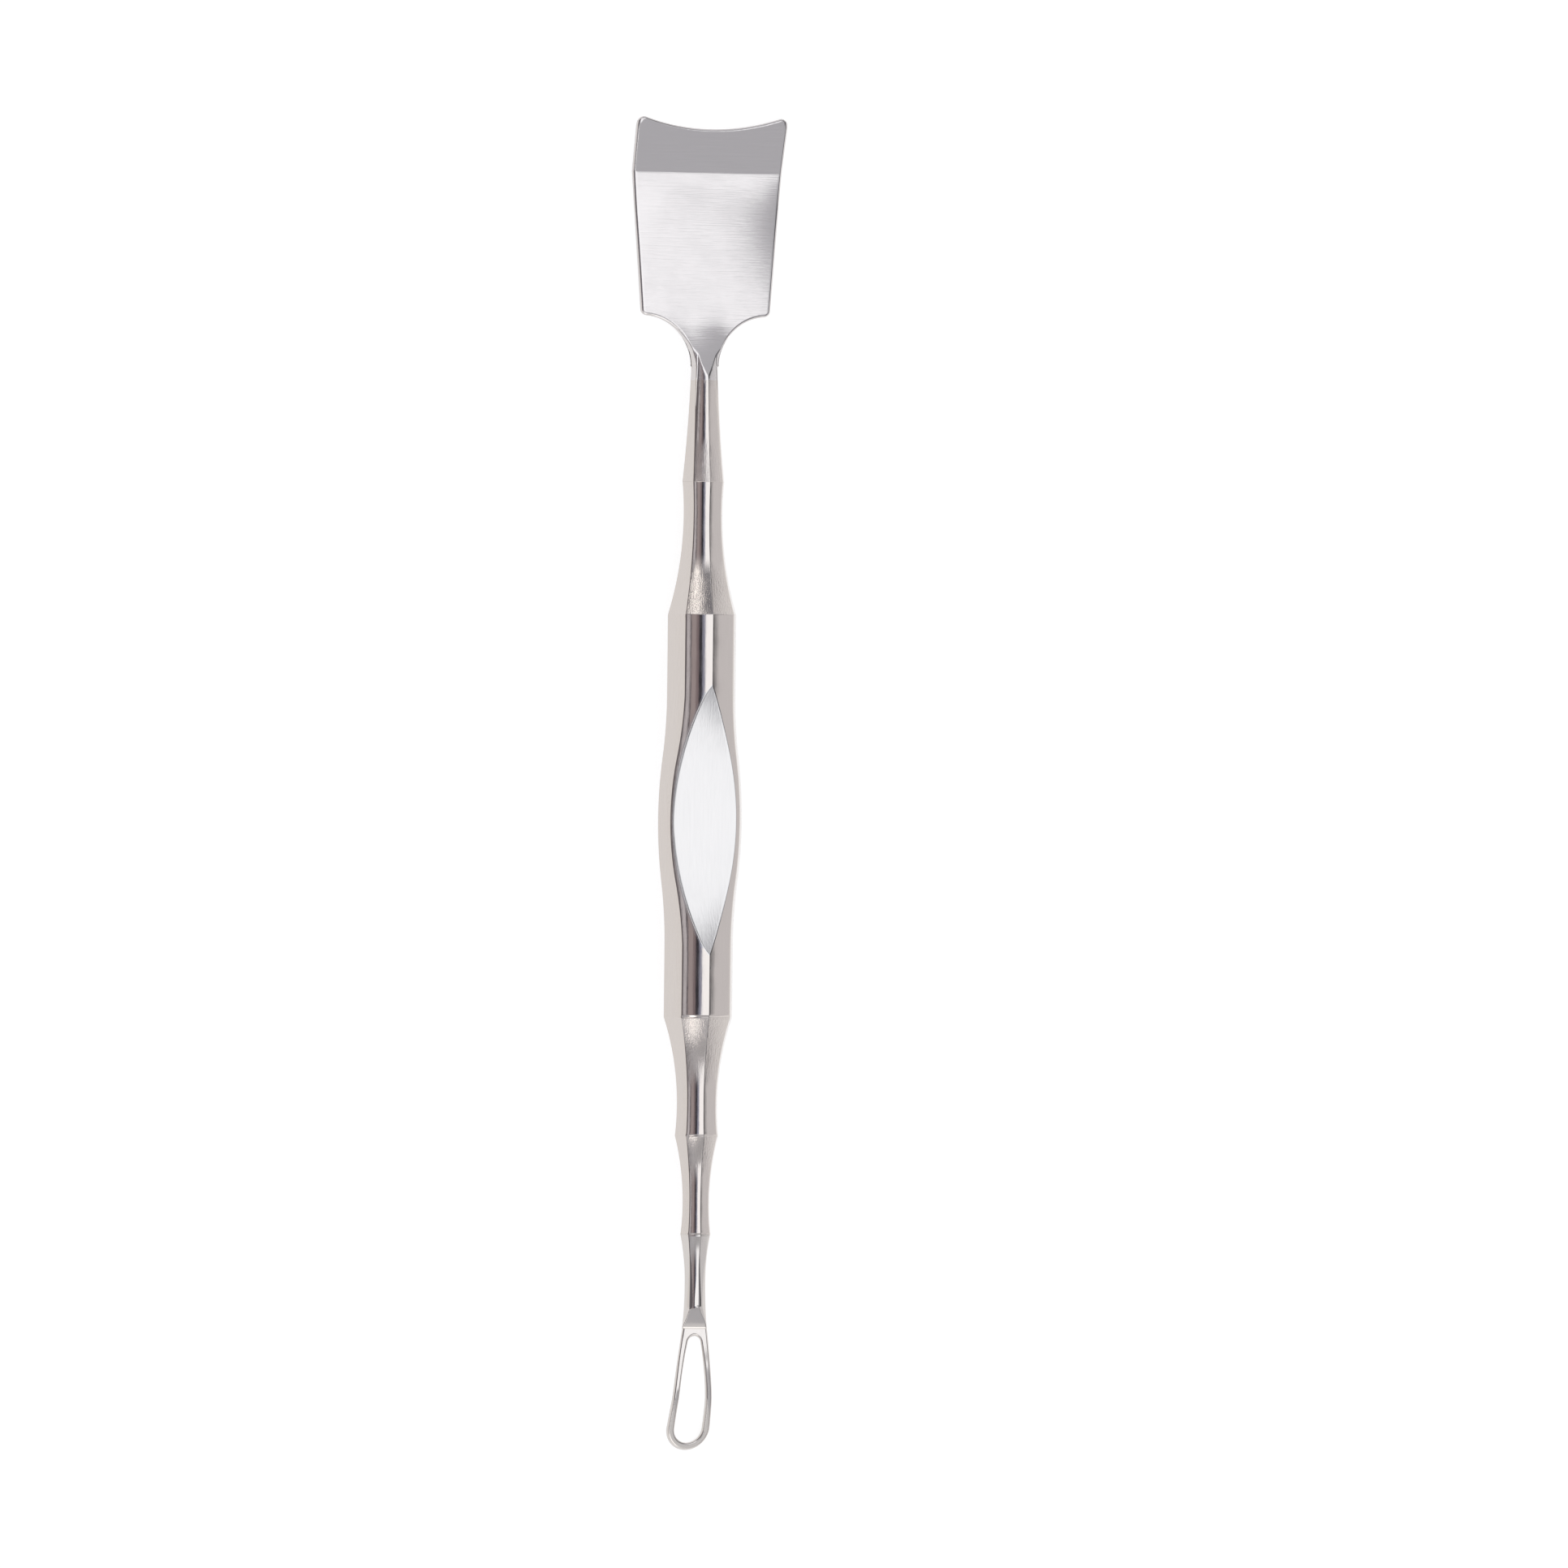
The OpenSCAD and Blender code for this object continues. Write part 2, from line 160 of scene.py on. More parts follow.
class Bar:
    """a bar of steel with straight cuts round it, from low to high along the tool"""

    def __init__(self, cuts, low, high, radius=lambda y: EDGE_ROUND):
        self.cuts, self.low, self.high, self.radius = cuts, low, high, radius
        self.plain = [n for n, cut in enumerate(cuts) if cut[3] is not None]

    def softened(self, size, y):
        """a size along the tool, with its crisp changes of slope eased"""
        offs = [EASE_MM * n / 4 for n in range(-2, 3)]
        return sum(size(min(max(y + off, self.low), self.high)) for off in offs) / len(offs)

    def crowned(self, point, number, sizes):
        """a point of a flat, lifted by its crown"""
        angle, _, _, crown = self.cuts[number]
        place = self.plain.index(number)
        reach = []
        for other in (self.plain[place - 1], self.plain[(place + 1) % len(self.plain)]):
            reach.append((sizes[other] - sizes[number] * cos(pi / 4)) / sin(pi / 4))
        half = (reach[0] + reach[1]) / 2
        sideways = Vector((cos(radians(angle)), -sin(radians(angle))))
        off = (point.dot(sideways) - (reach[1] - reach[0]) / 2) / half
        lift = crown * half / 2 * (1 - off * off if crown > 0 else off * off)
        return point + facing(angle) * lift

    def laid(self, start, end, share, number, sizes):
        """a point part of the way across a cut: crowned, or on a ground cut a wheel's slight round"""
        point = start.lerp(end, share)
        if self.cuts[number][3] is not None:
            return self.crowned(point, number, sizes)
        bulge = WHEEL_ROUND * share * (1 - share) * (end - start).length_squared
        return point + facing(self.cuts[number][0]) * bulge

    def section(self, y):
        """points round the bar at y, the same number for each flat at every y"""
        sizes = [self.softened(cut[1], y) for cut in self.cuts]
        shape = [(Vector((BLANK * x, BLANK * z)), None) for x, z in ((-1, -1), (1, -1), (1, 1), (-1, 1))]
        for number, cut in enumerate(self.cuts):
            face = facing(cut[0])
            kept = []
            for (here, edge), (there, _) in zip(shape, shape[1:] + shape[:1]):
                out_here = here.dot(face) - sizes[number]
                out_there = there.dot(face) - sizes[number]
                if out_here <= 0:
                    kept.append((here, edge))
                if (out_here < 0) != (out_there < 0):
                    cross = here.lerp(there, out_here / (out_here - out_there))
                    kept.append((cross, number if out_here < 0 else edge))
            shape = kept
        corners = {}
        for (here, edge), (there, _) in zip(shape, shape[1:] + shape[:1]):
            if (here - there).length > 1e-6:
                corners[edge] = (there, here)
        order = sorted(corners)
        ends = {}
        for number, after in zip(order, order[1:] + order[:1]):
            start, end = corners[number]
            turn = radians((self.cuts[after][0] - self.cuts[number][0]) % 360)
            far = (corners[after][1] - corners[after][0]).length
            ground = self.cuts[number][3] is None or self.cuts[after][3] is None
            r = EDGE_ROUND if ground else self.radius(y)
            ends[number] = min(r * tan(turn / 2), 0.4 * (end - start).length, 0.4 * far)
        points = []
        for number, cut in enumerate(self.cuts):
            # a cut that misses the bar here leaves its points where the next one starts
            if number not in corners:
                coming = [n for n in order if n > number] or order
                start, end = corners[coming[0]]
                before = order[order.index(coming[0]) - 1]
                first = self.laid(start, end, ends[before] / (end - start).length, coming[0], sizes)
                points += [first] * (cut[2] + ROUND)
                continue
            start, end = corners[number]
            long = (end - start).length
            before = order[order.index(number) - 1]
            after = order[(order.index(number) + 1) % len(order)]
            low, high = ends[before] / long, 1 - ends[number] / long
            for step in range(cut[2]):
                # the second point and the last but one stay near the edges
                t = step / (cut[2] - 1)
                t = 0.04 if step == 1 else 0.96 if step == cut[2] - 2 else t
                points.append(self.laid(start, end, low + (high - low) * t, number, sizes))
            a_start, a_end = corners[after]
            leaving = points[-1]
            second = a_start.lerp(a_end, ends[number] / (a_end - a_start).length)
            going = self.laid(a_start, a_end, ends[number] / (a_end - a_start).length, after, sizes)
            corner = (leaving + going) / 2 + (end - (start.lerp(end, high) + second) / 2)
            for step in range(1, ROUND + 1):
                t = step / (ROUND + 1)
                points.append(leaving.lerp(corner, t).lerp(corner.lerp(going, t), t))
        return points

    def rows(self, stations):
        """closed rows of points, one for each station"""
        rows = []
        for y in stations:
            line = [(p.x, y, p.y) for p in self.section(y)]
            rows.append(line + line[:1])
        return rows


HANDLE = Bar([(-157.5, high_flat, 9, HOLLOW), (-112.5, side_flat, 7, HOLLOW), (-67.5, side_flat, 8, SLIGHT),
              (-22.5, low_flat, 16, CROWN), (SCOOP_LEAN, scoop_flat, 12, None), (22.5, high_flat, 12, CROWN * 0.4),
              (67.5, side_flat, 8, SLIGHT), (112.5, side_flat, 7, HOLLOW), (157.5, low_flat, 9, HOLLOW),
              (180 + SCOOP_LEAN, scoop_flat, 12, None)], Y_E, Y_A)
# the flats of HANDLE beside its front and rear ridges
RIDGE_FLATS = (0, 3, 5, 8)

# a hairline edge: a face starts this far inside its section's outline
HAIR = 0.006


def stub(outline, lines):
    """rows round the axis, from a section's outline: (y, radius) each, or None for that outline a hair smaller"""
    rows = []
    for y, r in lines:
        line = []
        for x, _, z in outline:
            p = Vector((x, z))
            p = p * (1 - HAIR / p.length) if r is None else p.normalized() * r
            line.append((p.x, y, p.y))
        rows.append(line)
    return rows


# stations beside a crisp edge, and how far the plain ones keep away from it
NEAR_CRISP = (-0.24, -0.16, -0.1, -0.06, -0.03, 0, 0.03, 0.06, 0.1, 0.16, 0.24)
CLEAR_OF_CRISP = 0.27


def spaced(start, end, step, crisp=()):
    """stations from start to end, closer together round the crisp ones"""
    count = max(1, round(abs(end - start) / step))
    rows = [start + (end - start) * n / count for n in range(count + 1)]
    for at in crisp:
        rows = [y for y in rows if abs(y - at) > CLEAR_OF_CRISP or y in (start, end)]
        rows += [at + off for off in NEAR_CRISP]
    low, high = min(start, end), max(start, end)
    return sorted({round(y, 4) for y in rows if low <= y <= high}, reverse=start > end)


def sheet(bm, rows):
    """a grid with one line of points for each row, each laid where the row says"""
    wide, long = len(rows[0]) - 1, len(rows) - 1
    made = bmesh.ops.create_grid(bm, x_segments=wide, y_segments=long, size=1)["verts"]
    made.sort(key=lambda v: (round((v.co.y + 1) / 2 * long), round((v.co.x + 1) / 2 * wide)))
    for vert, point in zip(made, (p for row in rows for p in row)):
        vert.co = point
    return made


def finished(bm, name, cad_node, materials):
    """welds a piece, turns its faces outwards, lays it on the table and puts it in the CAD node's place"""
    bmesh.ops.remove_doubles(bm, verts=bm.verts, dist=2e-4)
    bmesh.ops.dissolve_degenerate(bm, edges=bm.edges, dist=1e-4)
    bmesh.ops.recalc_face_normals(bm, faces=bm.faces)
    bmesh.ops.transform(bm, matrix=ON_TABLE, verts=bm.verts)
    mesh = bpy.data.meshes.new(name)
    bm.to_mesh(mesh)
    bm.free()
    mesh.shade_smooth()
    for material in materials:
        mesh.materials.append(material)
    piece = bpy.data.objects.new(name, mesh)
    bpy.context.scene.collection.objects.link(piece)
    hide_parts(cad_node)
    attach(piece, "root")
    return piece


# ---- materials
def linear(colour):
    """an sRGB hex colour as linear light"""
    parts = [int(colour[n:n + 2], 16) / 255 for n in (1, 3, 5)]
    return [c / 12.92 if c <= 0.04045 else ((c + 0.055) / 1.055) ** 2.4 for c in parts] + [1]


def node(tree, kind, settings=None, inputs=None, links=None):
    """adds a node, sets it, fills its sockets and links others into it"""
    made = tree.nodes.new("ShaderNode" + kind)
    for key, value in (settings or {}).items():
        setattr(made, key, value)
    for key, value in (inputs or {}).items():
        made.inputs[key].default_value = value
    for key, source in (links or {}).items():
        tree.links.new(source, made.inputs[key])
    return made


# spacing of the slanted strokes and of the slight waves that hand buffing leaves. The abrasive's real lines are
# 0.01 to 0.03 mm apart, and are drawn 0.1 to 0.2 mm apart so that they show in the render
STROKE_MM, WAVE_MM = 0.16, 2.2
# scale of a pattern along its lines against across them: the smaller, the longer the lines
GRAIN_ALONG, GRAIN_ACROSS, STROKE_LONG = 0.03, 0.035, 0.09


def steel(name, colour, fine, coarse, grain_mm, along, scratch, peel, skew=0.0):
    """stainless steel: fine and coarse are the roughness where it is buffed and where it is satin"""
    material = bpy.data.materials.new(name)
    material.use_nodes = True
    tree = material.node_tree
    tree.nodes.clear()
    place = node(tree, "TexCoord")
    # the tool's own axes, so that grain runs along or across it
    own = node(tree, "Mapping", {"vector_type": "POINT"}, {"Rotation": (0, -HALF_SIDE, 0)},
               {"Vector": place.outputs["Object"]})
    stretch = (1, GRAIN_ALONG, 1) if along else (GRAIN_ACROSS, 1, 1)
    drawn = node(tree, "Mapping", {}, {"Scale": [s / (grain_mm / 1000) for s in stretch]},
                 {"Vector": own.outputs["Vector"]})
    grain = node(tree, "TexNoise", {"noise_dimensions": "3D"},
                 {"Scale": 1.0, "Detail": 3.0, "Roughness": 0.6}, {"Vector": drawn.outputs["Vector"]})
    # strokes of the abrasive at a slant, left in the satin places
    slant = node(tree, "Mapping", {"vector_type": "POINT"}, {"Rotation": (0, 0, radians(skew))},
                 {"Vector": own.outputs["Vector"]})
    slanted = node(tree, "Mapping", {}, {"Scale": [s / (STROKE_MM / 1000) for s in (STROKE_LONG, 1, 1)]},
                   {"Vector": slant.outputs["Vector"]})
    strokes = node(tree, "TexNoise", {"noise_dimensions": "3D"}, {"Scale": 1.0, "Detail": 2.0},
                   {"Vector": slanted.outputs["Vector"]})
    cloud = node(tree, "TexNoise", {"noise_dimensions": "3D"}, {"Scale": 1000 / WAVE_MM, "Detail": 2.0},
                 {"Vector": own.outputs["Vector"]})
    satin = node(tree, "Attribute", {"attribute_name": "satin"})
    patchy = node(tree, "MapRange", {}, {"From Min": 0.3, "From Max": 0.7, "To Min": -0.02, "To Max": 0.02},
                  {"Value": cloud.outputs["Fac"]})
    level = node(tree, "MapRange", {}, {"To Min": fine, "To Max": coarse}, {"Value": satin.outputs["Fac"]})
    rough = node(tree, "Math", {"operation": "ADD", "use_clamp": True}, {},
                 {0: level.outputs["Result"], 1: patchy.outputs["Result"]})
    depth = node(tree, "MapRange", {}, {"To Min": scratch * 0.08, "To Max": scratch},
                 {"Value": satin.outputs["Fac"]})
    deep = node(tree, "MapRange", {}, {"From Min": 0.5, "To Min": 0.0, "To Max": scratch if skew else 0.0},
                {"Value": satin.outputs["Fac"]})
    # heights in metres: 0.03 mm for the waves, less for the strokes and the grain
    waves = node(tree, "Bump", {}, {"Strength": peel, "Distance": 0.00003}, {"Height": cloud.outputs["Fac"]})
    marks = node(tree, "Bump", {}, {"Distance": 0.00001},
                 {"Height": strokes.outputs["Fac"], "Strength": deep.outputs["Result"],
                  "Normal": waves.outputs["Normal"]})
    lines = node(tree, "Bump", {}, {"Distance": 0.00002},
                 {"Height": grain.outputs["Fac"], "Strength": depth.outputs["Result"],
                  "Normal": marks.outputs["Normal"]})
    tone = node(tree, "MixRGB", {"blend_type": "MIX"},
                {"Color1": linear(colour), "Color2": [c * 0.93 for c in linear(colour)[:3]] + [1]},
                {"Fac": grain.outputs["Fac"]})
    shader = node(tree, "BsdfPrincipled", {}, {"Metallic": 1.0},
                  {"Base Color": tone.outputs["Color"], "Roughness": rough.outputs["Value"],
                   "Normal": lines.outputs["Normal"]})
    node(tree, "OutputMaterial", {}, {}, {"Surface": shader.outputs["BSDF"]})
    return material


# stainless steel, buffed on a sisal wheel: clear reflections on the flats, satin where the wheel can't reach
buffed_steel = steel("buffed_stainless_steel", "#d1cac5", 0.06, 0.145, 0.11, True, 0.45, 0.12, skew=-32)
# stainless steel, hollow ground on a belt along the tool: long fine lines, soft reflections
scoop_steel = steel("hollow_ground_stainless_steel", "#d1cfce", 0.12, 0.14, 0.13, True, 0.3, 0.08)
# stainless steel sheet, satin ground across the spade: short cross lines
spade_steel = steel("cross_ground_stainless_steel", "#d5d1d0", 0.08, 0.16, 0.13, False, 0.4, 0.08)
# stainless steel strip, tumbled and wiped bright
loop_steel = steel("tumbled_stainless_steel", "#d2cdc9", 0.08, 0.17, 0.1, True, 0.12, 0.08)
# silver brazing filler, wiped while soft: duller and warmer than the steel round it
filler = steel("silver_brazing_filler", "#c9bfa8", 0.3, 0.4, 0.2, True, 0.5, 0.5)


# ---- the handle
# the sockets for the tangs: depth and radius of the bore, with a chamfer for the filler at its mouth
BLADE_BORE, LOOP_BORE = (8.4, 1.2), (6.4, 0.85)
CHAMFER = 0.3
# a face stands back this much inside its rounded edge
FACE_BACK = 0.02
# satin left beside the crisp edges: edge, reach (below 0 downwards), fade, strength
SATIN_ENDS = ((Y_B, 5.6, 2.4, 1.0), (Y_C, -7.0, 2.8, 1.0), (Y_D, -4.4, 2.4, 0.8))


def satin_along(y):
    """where the stem kept its satin: beside each crisp edge, on the side the buff couldn't reach"""
    for edge, reach, fade, full in SATIN_ENDS:
        off = (y - edge) * (1 if reach > 0 else -1)
        if 0 <= off < abs(reach):
            return full * min(1.0, (abs(reach) - off) / fade)
    return 0.0


def handle():
    bm = bmesh.new()
    satin = bm.verts.layers.float.new("satin")
    top, bottom = Y_A - 0.01, Y_E + 0.01
    stations = spaced(top, bottom, 0.24,
                      (top, Y_B, Y_C, Y_D, bottom, Y_SCOOP + SCOOP_REACH, Y_SCOOP - SCOOP_REACH))
    body = HANDLE.rows(stations)
    # the sockets in the end faces: hairline edge, face, chamfer, bore, bottom
    deep, r = BLADE_BORE
    inner = stub(body[0], ((Y_A - deep, 0), (Y_A - deep, r), (Y_A - CHAMFER - FACE_BACK, r),
                           (Y_A - FACE_BACK, r + CHAMFER), (Y_A, None)))
    deep, r = LOOP_BORE
    outer = stub(body[-1], ((Y_E, None), (Y_E + FACE_BACK, r + CHAMFER), (Y_E + CHAMFER + FACE_BACK, r),
                            (Y_E + deep, r), (Y_E + deep, 0)))
    slots = [n for n, cut in enumerate(HANDLE.cuts) for _ in range(cut[2] + ROUND)]
    # how satin each point is: full in the sockets, 0.75 in the scoops, 0.6 on the side flats
    dull = [[1.0] * (len(slots) + 1)] * len(inner)
    for y in stations:
        here = satin_along(y)
        line = [0.75 if HANDLE.cuts[n][3] is None else here if n in RIDGE_FLATS else 0.6 for n in slots]
        dull.append(line + line[:1])
    dull += [[1.0] * (len(slots) + 1)] * len(outer)
    made = sheet(bm, inner + body + outer)
    for vert, value in zip(made, (v for line in dull for v in line)):
        vert[satin] = value
    # faces of the two scoops take the hollow ground finish where the wheel really cut
    for face in bm.faces:
        middle = face.calc_center_median()
        if abs(middle.y - Y_SCOOP) < SCOOP_REACH + 0.7:
            for angle in (SCOOP_LEAN, 180 + SCOOP_LEAN):
                if -0.02 < Vector((middle.x, middle.z)).dot(facing(angle)) - scoop_flat(middle.y) < 0.08:
                    face.material_index = 1
    return finished(bm, "handle_body", "handle", [buffed_steel, scoop_steel])


# ---- the spade: neck, foot, plate and turned-up lip, as an upper and a lower skin that meet in a round edge
# half thickness of the plate, width of its round edge, radii of the flare and of the foot's and lip's corners
BLADE_T = 0.45
NOSE = 0.32
FLARE_R, FOOT_R, LIP_R = 5.1, 0.65, 0.8
# half widths at the lip's end, at the crease and at the foot, and the lean of the sides
LIP_W, CREASE_W, FOOT_W = 7.98, 7.89, 6.8
LEAN = atan2(CREASE_W - FOOT_W, Y_CREASE - Y_FOOT)
LIP_X = LIP_W - LIP_R
LIP_ANGLE = radians(18.5)
# the hollow working edge
EDGE_R = 22.5
EDGE_Y = Y_END + sqrt(EDGE_R ** 2 - LIP_X ** 2)
# the neck: half sizes across its side and broad flats where it meets the foot, and its length
NECK_SIDE, NECK_BROAD, NECK_LONG = 1.225, 1.0, 16.8
# the wheel that ground the neck down to the plate: radius, and where it leaves the plate
GRIND_R, GRIND_Y = 29, Y_FOOT + 0.95
# the side's ribs end here, and the plate's rows run straight across
Y_STRAIGHT = 51
# radius and ends of the tang, and of the tip that leads it in
TANG_R, TANG_TIP_R = 1.15, 0.805
TANG_END, TANG_LEAD, TANG_MIDDLE = 22.4, 22.75, 26.0


def smaller(first, second, ease=0.03):
    """the smaller of two sizes, eased where they cross"""
    gap = first - second
    return (first + second - sqrt(gap * gap + ease * ease)) / 2


def ramp(value, start, end):
    """0 at the start, 1 at the end and beyond"""
    return min(max((value - start) / (end - start), 0.0), 1.0)


def eased(share):
    """a share from 0 to 1 that leaves and arrives level"""
    return share * share * (3 - 2 * share)


def neck_flat(y, foot, sweep):
    """half size across a pair of the neck's flats, swept out into the foot"""
    r = arc_r(Y_FOOT - Y_A, FLAT_A - foot)
    start = Y_FOOT - sweep
    if y < start:
        return foot + arc_up(r, Y_FOOT - y)
    if y < Y_FOOT:
        return foot + arc_up(r, sweep) + arc_up(sweep, y - start)
    return 20.0


def worn(x, y):
    """how far buffing dropped the plate's face: a little lengthwise, and at its sides, most at the right"""
    lengthwise = 0.075 * min(((y - 53) / 7) ** 2, 1)
    side = (0.26 if x > 0 else 0.1) * (abs(x) / 7.3) ** 3
    return lengthwise + side * ramp(y, 46, 56) * eased(ramp(y, Y_CREASE, Y_CREASE - 4))


def plate_half(x, y):
    """half thickness: the wheel's hollow runs the neck down to the plate, and is a little round across"""
    off = GRIND_Y - y
    if off < 0:
        return BLADE_T - worn(x, y)
    across = 0.02 * x * x / (1 + (x / 2.4) ** 4) * min(off / 3, 1.0)
    return BLADE_T + arc_up(GRIND_R, off) - worn(x, y) - across


def neck_height(x, y, crown):
    """height of the eight-sided neck above a point x, with the crown that buffing gave its broad flats"""
    side, broad = neck_flat(y, NECK_SIDE, FLARE_R), neck_flat(y, NECK_BROAD, FLARE_R - 1)
    over = (side - x * cos(HALF_SIDE)) / sin(HALF_SIDE)
    half = broad * tan(HALF_SIDE)
    off = (x - broad * sin(HALF_SIDE)) / cos(HALF_SIDE) / half
    lift = crown * half / 2 * (1 - off * off) if abs(off) < 1.4 else 0.0
    front = (broad + lift - x * sin(HALF_SIDE)) / cos(HALF_SIDE)
    return max(smaller(over, front), 0.0)


def nose(edge, wide=NOSE):
    """share of the full thickness at a distance from the outline"""
    t = min(max(edge / wide, 0.0), 1.0)
    return sqrt(max(1 - (1 - t) ** 2, 0.0))


def rounded_steps(wide, count):
    """distances from an outline that turn by the same angle round its edge"""
    return [wide * (1 - cos(pi / 2 * n / count)) for n in range(count + 1)]


Y_CORNER = Y_END - LIP_R


def lip_side(y):
    """half width of the lip, from the crease to where its corner starts"""
    return LIP_W - (Y_CORNER - y) * (LIP_W - CREASE_W) / (Y_CORNER - Y_CREASE)


def lip_edge(x, y):
    """distance of a point of the lip from the lip's outline"""
    if x > LIP_X and y > Y_CORNER:
        return LIP_R - hypot(x - LIP_X, y - Y_CORNER)
    return min(lip_side(y) - x, hypot(x, y - EDGE_Y) - EDGE_R)


def lip_top(x):
    """where the lip ends: the hollow working edge between two round corners"""
    if x > LIP_X:
        return Y_CORNER + sqrt(max(LIP_R ** 2 - (x - LIP_X) ** 2, 0.0))
    return EDGE_Y - sqrt(EDGE_R ** 2 - x * x)


def middle_height(y):
    """height of the plate's middle: level, then up the lip past a crease with a narrow and a wide bend"""
    off = y - Y_CREASE
    bends = sum(share * sqrt(off * off + soft) for share, soft in ((0.78, 0.01), (0.22, 0.5)))
    return tan(LIP_ANGLE) * (off + bends) / 2


def spade_rows(up, side):
    """half rows of one skin, from the middle of the tool to its outline"""
    inner, near, round_flare, round_foot, round_side = 44, 8, 60, 8, 7
    edges = rounded_steps(NOSE, near)[::-1]
    crown = CROWN if up > 0 > side else SLIGHT
    half_neck = (NECK_SIDE + arc_up(arc_r(NECK_LONG, FLAT_A - NECK_SIDE), FLARE_R)) / cos(HALF_SIDE) + 0.08
    flare_y = Y_FOOT - FLARE_R

    def spread(wide):
        """distances from the middle to the outline, closer together on the round edge"""
        return [(wide - NOSE) * n / inner for n in range(inner + 1)] + [wide - e for e in edges[1:]]

    def neck_point(x, y, edge, shave=1.0):
        """a point of the neck or the foot, under both the eight-sided bar and the wheel's hollow"""
        height = smaller(neck_height(x, y, crown), plate_half(side * x, y), 0.02)
        return (x * shave, y, up * max(min(height, plate_half(side * x, y) * nose(edge)), 0.0) * shave)

    # tang, lead-in chamfer and shoulder
    rows = []
    turns = [pi / 2 * n / (inner + near) for n in range(inner + near + 1)]
    for y, r in ((TANG_END, 0.0), (TANG_END, TANG_TIP_R), (TANG_LEAD, TANG_R), (TANG_MIDDLE, TANG_R),
                 (Y_A, TANG_R)):
        rows.append([(r * sin(turn), y, up * r * cos(turn)) for turn in turns])
    # neck
    for number, y in enumerate(spaced(Y_A, flare_y, 0.22, (Y_A,))):
        wide = neck_flat(y, NECK_SIDE, FLARE_R) / cos(HALF_SIDE)
        rows.append([neck_point(x, y, wide - x, 0.998 if number == 0 else 1) for x in spread(wide)])
    # flare, foot corner and the start of the side: ribs from the middle that leave the outline squarely. Each has
    # its point of the outline, the outline's way out there, and how far ahead it starts in the middle
    ribs = []
    lead = 1.1
    foot_x = FOOT_W - FOOT_R * tan((pi / 2 - LEAN) / 2)
    last = acos((half_neck + FLARE_R - foot_x) / FLARE_R)
    for n in range(1, round_flare + 1):
        turn = last * n / round_flare
        ribs.append((half_neck + FLARE_R - FLARE_R * cos(turn), flare_y + FLARE_R * sin(turn),
                     cos(turn), -sin(turn), lead * (n / round_flare) ** 2))
    for n in range(1, round_foot):
        turn = -pi / 2 + (pi / 2 - LEAN) * n / round_foot
        ribs.append((foot_x + FOOT_R * cos(turn), Y_FOOT + FOOT_R + FOOT_R * sin(turn),
                     cos(turn), sin(turn), lead))
    side_y = Y_FOOT + FOOT_R * (1 - sin(LEAN))
    for n in range(round_side + 1):
        y = side_y + (Y_STRAIGHT - side_y) * n / round_side
        ribs.append((FOOT_W + (y - Y_FOOT) * tan(LEAN), y,
                     cos(LEAN), sin(-LEAN) if n < round_side else 0.0, lead * (1 - n / round_side)))
    for ox, oy, nx, ny, ahead in ribs:
        begin = Vector((ox - nx * NOSE, oy - ny * NOSE))
        centre = Vector((0, max(oy, begin.y) + ahead if ny else oy))
        if not ny:
            begin.x = ox - NOSE
        points = [neck_point(*centre.lerp(begin, n / inner), NOSE) for n in range(inner + 1)]
        points += [neck_point(ox - nx * e if ny else ox - e, oy - ny * e, e) for e in edges[1:]]
        rows.append(points)
    # plate, straight across
    for y in spaced(Y_STRAIGHT, Y_CREASE, 0.45, (Y_CREASE,))[1:]:
        wide = FOOT_W + (y - Y_FOOT) * tan(LEAN)
        rows.append([(x, y, middle_height(y) + up * plate_half(side * x, y) * nose(wide - x))
                     for x in spread(wide)])
    # lip: rows bend towards the hollow working edge
    corner_x = LIP_X + LIP_R * sin(pi / 4)
    side_end = Y_CORNER + LIP_R * cos(pi / 4)
    stations = spaced(Y_CREASE, side_end - NOSE, 0.4, (Y_CREASE,))[1:]
    shares = [((y - Y_CREASE) / (side_end - NOSE - Y_CREASE), NOSE) for y in stations]
    for share, e_top in shares + [(1.0, e) for e in edges[1:]]:
        def row_y(x):
            return Y_CREASE + share * (lip_top(x) - e_top - Y_CREASE)
        y_side = row_y(corner_x)
        if y_side < Y_CORNER:
            wide = lip_side(y_side)
        else:
            wide = LIP_X + sqrt(max(LIP_R ** 2 - (y_side - Y_CORNER) ** 2, 0.0))
        points = []
        for x in spread(wide):
            y = row_y(x * corner_x / wide)
            thick = plate_half(side * x, y) / cos(LIP_ANGLE * ramp(y, Y_CREASE, Y_CREASE + 0.4))
            points.append((x, y, middle_height(y) + up * thick * nose(lip_edge(x, y))))
        rows.append(points)
    return rows


def spade():
    bm = bmesh.new()
    satin = bm.verts.layers.float.new("satin")
    for up in (1, -1):
        for side in (1, -1):
            sheet(bm, [[(side * x, y, z) for x, y, z in row] for row in spade_rows(up, side)])
    # satin beside the handle's crisp edge, most on the neck's front band, and on the ground faces
    for vert in bm.verts:
        y = vert.co.y
        on_band = -vert.co.z < vert.co.x < 0.03
        near = (0.8 if on_band else 0.4) * ramp(y, Y_A + 4.6, Y_A + 3.0)
        vert[satin] = max(near, 0.1 + 0.9 * ramp(y, 39.5, 42.5))
    # the neck is buffed together with the handle, the ground faces come after
    for face in bm.faces:
        face.material_index = 1 if face.calc_center_median().y < 40.7 else 0
    return finished(bm, "spade", "spade_blade", [spade_steel, buffed_steel])


# ---- the loop: a neck with small ground flats, and a strip with its eye. The strip faces nearly straight up
# at its root, and has turned to face as the spade does by its bend
LOOP_T = 0.375
LOOP_NOSE = 0.24
# degrees that the root is turned about the tool's axis, and the roll of the whole tool
ROOT_TURN = 17.5
ROLL = radians(18.2)
